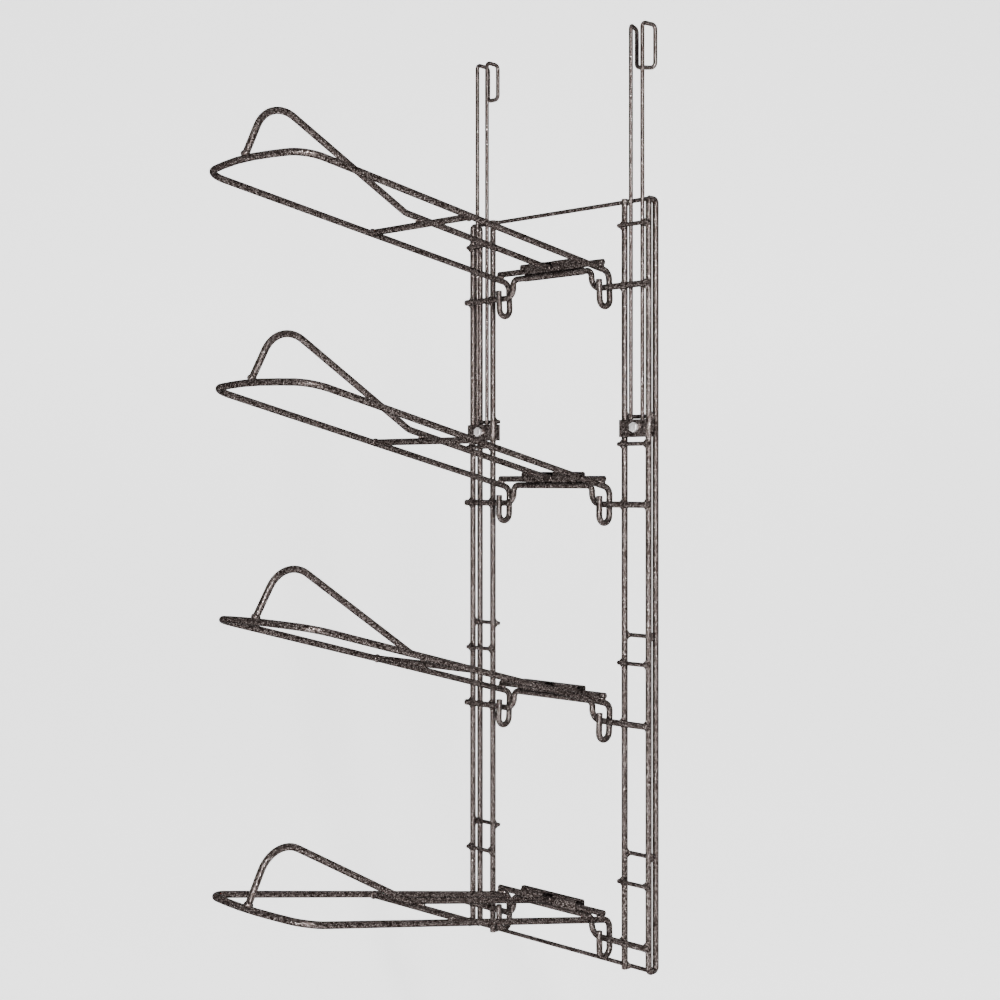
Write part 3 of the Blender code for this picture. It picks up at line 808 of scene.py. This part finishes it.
class SADDLERACK_OT_welds(bpy.types.Operator):
    """Weld fillets where rods cross or butt together"""

    bl_idname = "saddlerack.welds"
    bl_label = "Weld fillets"

    def execute(self, context):
        self.ladder_welds()
        for tier in TIERS:
            self.arm_welds(tier)
        return {"FINISHED"}

    def ladder_welds(self):
        """Every rung, crossbar and cranked bar on its uprights."""
        for side, sign in SIDES:
            bm = bmesh.new()
            inner_x, outer_x = ladder_axes(side)
            low, high = corners_of(f"inner_upright_{side}")
            upright = low.y + ROD_R, low.z, high.z
            for tier in TIERS:
                for x in (inner_x, outer_x):
                    self.crossing(bm, side, f"front_rung_{side}_{tier}", x, upright)
                    self.crank_crossing(bm, side, tier, x)
            for tier in TIERS[:-1]:
                for x in (inner_x, outer_x):
                    self.crossing(bm, side, f"back_rung_{side}_{tier}", x, upright)
            for bar in ("top_bar", "bottom_bar"):
                self.crossing(bm, side, bar, inner_x, upright)
                _, y, z = sum(corners_of(bar), Vector()) / 2
                add_collar(bm, Vector((outer_x - sign * ROD_R, y, z)), ALONG_X * sign, WIRE_R * 1.45,
                           WIRE_R * 1.2)
            add_piece(f"ladder_welds_{side}", bm, ROOT, "frame_coat")

    def crossing(self, bm, side, level, x, upright):
        """A fillet where a level wire crosses the leg that stands at x."""
        upright_y, bottom, top = upright
        low, high = corners_of(level)
        _, level_y, level_z = (low + high) / 2
        toward = 1 if level_y < upright_y else -1
        centre = Vector((x, level_y + toward * (WIRE_R + GAP / 2), level_z))
        reach = look().weld_reach
        limits = self.clear_of_wires(side, x, Vector((low.x, CAD_BOX[0][1], bottom)),
                                     Vector((high.x, CAD_BOX[1][1], top)))
        add_fillet(bm, centre, ALONG_X, ALONG_Z, ROD_R + reach, WIRE_R + reach, look().weld_thickness,
                   *limits)

    def crank_crossing(self, bm, side, tier, x):
        """A fillet where a cranked bar crosses the leg that stands at x."""
        _, axis_y, axis_z = swing_axis(tier)
        centre = Vector((x, axis_y + ROD_R + GAP / 2, axis_z))
        reach = look().weld_reach + ROD_R
        low, high = corners_of(f"crank_bar_{tier}")
        low.yz, high.yz = (centre.y - ROD_R, axis_z - reach), (centre.y + ROD_R, axis_z + reach)
        limits = self.clear_of_wires(side, x, low, high)
        add_fillet(bm, centre, ALONG_X, ALONG_Z, reach, reach, look().weld_thickness, *limits)

    def clear_of_wires(self, side, x, low, high):
        """The limits of a fillet at x, drawn in so that the hook's wires slide past it."""
        middle = hook_middle(side)
        reach = HOOK_SPACING / 2 + WIRE_R + 2 * GAP
        if x < middle:
            high.x = min(high.x, middle - reach)
        else:
            low.x = max(low.x, middle + reach)
        return low, high

    def arm_welds(self, tier):
        """Cross rod to rails and ridge, ridge to nose and rear bar, rear bar to rails."""
        bm = bmesh.new()
        along_s = (on_arm(0, 1, 0) - on_arm(0, 0, 0)).normalized()
        reach = look().weld_reach * 0.8 + ROD_R
        half_gap = ROD_R + GAP / 2
        edge = RAIL_X + ROD_R
        add_fillet(bm, on_arm(0, CROSS_ROD_S, half_gap), ALONG_X, along_s, reach, reach, ARM_FILLET)
        for sign in (-1, 1):
            inner = sign * (RAIL_X - ROD_R)
            add_collar(bm, on_arm(inner, CROSS_ROD_S, 0), ALONG_X, ROD_R * 1.32, ROD_R * 0.85)
            add_fillet(bm, on_arm(sign * RAIL_X, REAR_BAR_S + 0.001, half_gap - 0.0004), ALONG_X, along_s,
                       reach, reach, RAIL_FILLET, (-edge, -1.0, -1.0), (edge, 1.0, 1.0))
        foot = on_arm(0, RIDGE_FOOT_S, ROD_R + RIDGE_FOOT_GAP)
        peak = on_arm(0, *RIDGE_PEAK)
        add_collar(bm, foot, peak - foot, ROD_R * 1.35, ROD_R * 1.0)
        add_collar(bm, on_arm(0, REAR_BAR_S + ROD_R, TOUCH_ROD), along_s, ROD_R * 1.25, ROD_R * 0.7)
        bmesh.ops.transform(bm, matrix=tilted(tier), verts=bm.verts)
        add_piece(f"arm_welds_{tier}", bm, f"arm_{tier}", "arm_coat")


class SADDLERACK_OT_stage(bpy.types.Operator):
    """Pale floor and backdrop, soft lights and the camera"""

    bl_idname = "saddlerack.stage"
    bl_label = "Stage"

    def execute(self, context):
        self.sweep()
        self.lights()
        self.camera()
        return {"FINISHED"}

    def sweep(self):
        """A floor that curves up into a backdrop."""
        floor_z = CAD_BOX[0][2] - look().floor_drop
        near, far, width, height, bend = -6.0, 5.0, 14.0, 6.0, 2.0
        bm = bmesh.new()
        row = [bm.verts.new((x, near, floor_z)) for x in (-width, width)]
        edges = [bm.edges.new(row)]
        edges, verts = grow(bm, edges)
        bmesh.ops.translate(bm, vec=(0, far - bend - near, 0), verts=verts)
        steps = 12
        for _ in range(steps):
            edges, verts = grow(bm, edges)
            bmesh.ops.rotate(bm, cent=(0, far - bend, floor_z + bend),
                             matrix=Matrix.Rotation(QUARTER_TURN / steps, 3, "X"), verts=verts)
        edges, verts = grow(bm, edges)
        bmesh.ops.translate(bm, vec=(0, 0, height), verts=verts)
        face_view = Matrix.Rotation(VIEW_TURN, 3, "Z")
        bmesh.ops.rotate(bm, cent=(0, 0, 0), matrix=face_view, verts=bm.verts)
        bmesh.ops.recalc_face_normals(bm, faces=bm.faces)
        mesh = bpy.data.meshes.new("stage_sweep")
        bm.to_mesh(mesh)
        bm.free()
        mesh.polygons.foreach_set("use_smooth", [True] * len(mesh.polygons))
        into_view = face_view @ Vector((0, 1, 0))
        mesh.materials.append(plain_stage("stage paint", look().stage_colour, 0.9, into_view))
        floor = bpy.data.objects.new("stage_sweep", mesh)
        link(floor)

    def softbox(self, name, place, target, size, power):
        """A rectangular lamp that faces a target."""
        lamp = bpy.data.lights.new(name, "AREA")
        lamp.shape = "RECTANGLE"
        lamp.size, lamp.size_y = size
        lamp.energy = power
        holder = bpy.data.objects.new(name, lamp)
        holder.location = place
        holder.rotation_euler = (target - Vector(place)).to_track_quat("-Z", "Y").to_euler()
        link(holder)

    def lights(self):
        """Two tall narrow softboxes beside the camera, a wide one overhead and an even pale surround."""
        middle = (Vector(CAD_BOX[0]) + Vector(CAD_BOX[1])) / 2
        power = look().key_power
        self.softbox("key_softbox", (2.6, -2.0, 0.1), middle, (0.18, 2.2), power * 5.5)
        self.softbox("low_softbox", (0.9, -2.9, -1.5), middle, (0.20, 1.4), power * 1.5)
        self.softbox("top_softbox", (-0.6, -1.2, 2.4), middle, (3.0, 3.0), power * 0.2)
        world = bpy.data.worlds.new("studio")
        world.use_nodes = True
        surround = world.node_tree.nodes["Background"]
        surround.inputs["Color"].default_value = (1.0, 1.0, 1.0, 1.0)
        surround.inputs["Strength"].default_value = 0.30
        bpy.context.scene.world = world

    def camera(self):
        """Level, to the right of the front, with the lens shifted a little."""
        lens = bpy.data.cameras.new("camera")
        lens.sensor_width = 36.0
        lens.lens = CAMERA_LENS
        lens.shift_y = CAMERA_SHIFT
        holder = bpy.data.objects.new("camera", lens)
        holder.location = CAMERA_SPOT
        holder.rotation_euler = (CAMERA_TIP, 0.0, VIEW_TURN)
        link(holder)
        bpy.context.scene.camera = holder


class SADDLERACK_PT_panel(bpy.types.Panel):
    """Every step of the rack's finish, in order"""

    bl_idname = "SADDLERACK_PT_panel"
    bl_label = "Saddle Rack"
    bl_space_type = "VIEW_3D"
    bl_region_type = "UI"
    bl_category = "Saddle Rack"

    def draw(self, context):
        settings = context.scene.saddle_rack
        for name in SaddleRackLook.__annotations__:
            self.layout.prop(settings, name)
        for step in STEPS:
            self.layout.operator(step.bl_idname)


STEPS = (SADDLERACK_OT_ladders, SADDLERACK_OT_cranked_bars, SADDLERACK_OT_arms, SADDLERACK_OT_keepers,
         SADDLERACK_OT_hooks, SADDLERACK_OT_clamps, SADDLERACK_OT_welds, SADDLERACK_OT_stage)
CLASSES = (SaddleRackLook, *STEPS, SADDLERACK_PT_panel)


def register():
    """Add the settings, the steps and the panel."""
    for item in CLASSES:
        bpy.utils.register_class(item)
    bpy.types.Scene.saddle_rack = PointerProperty(type=SaddleRackLook)


def unregister():
    """Take them away again."""
    del bpy.types.Scene.saddle_rack
    for item in reversed(CLASSES):
        bpy.utils.unregister_class(item)


def main():
    """Build every piece and the stage."""
    register()
    bpy.ops.saddlerack.ladders()
    bpy.ops.saddlerack.cranked_bars()
    bpy.ops.saddlerack.arms()
    bpy.ops.saddlerack.keepers()
    bpy.ops.saddlerack.hooks()
    bpy.ops.saddlerack.clamps()
    bpy.ops.saddlerack.welds()
    bpy.ops.saddlerack.stage()


if __name__ == "__main__":
    main()
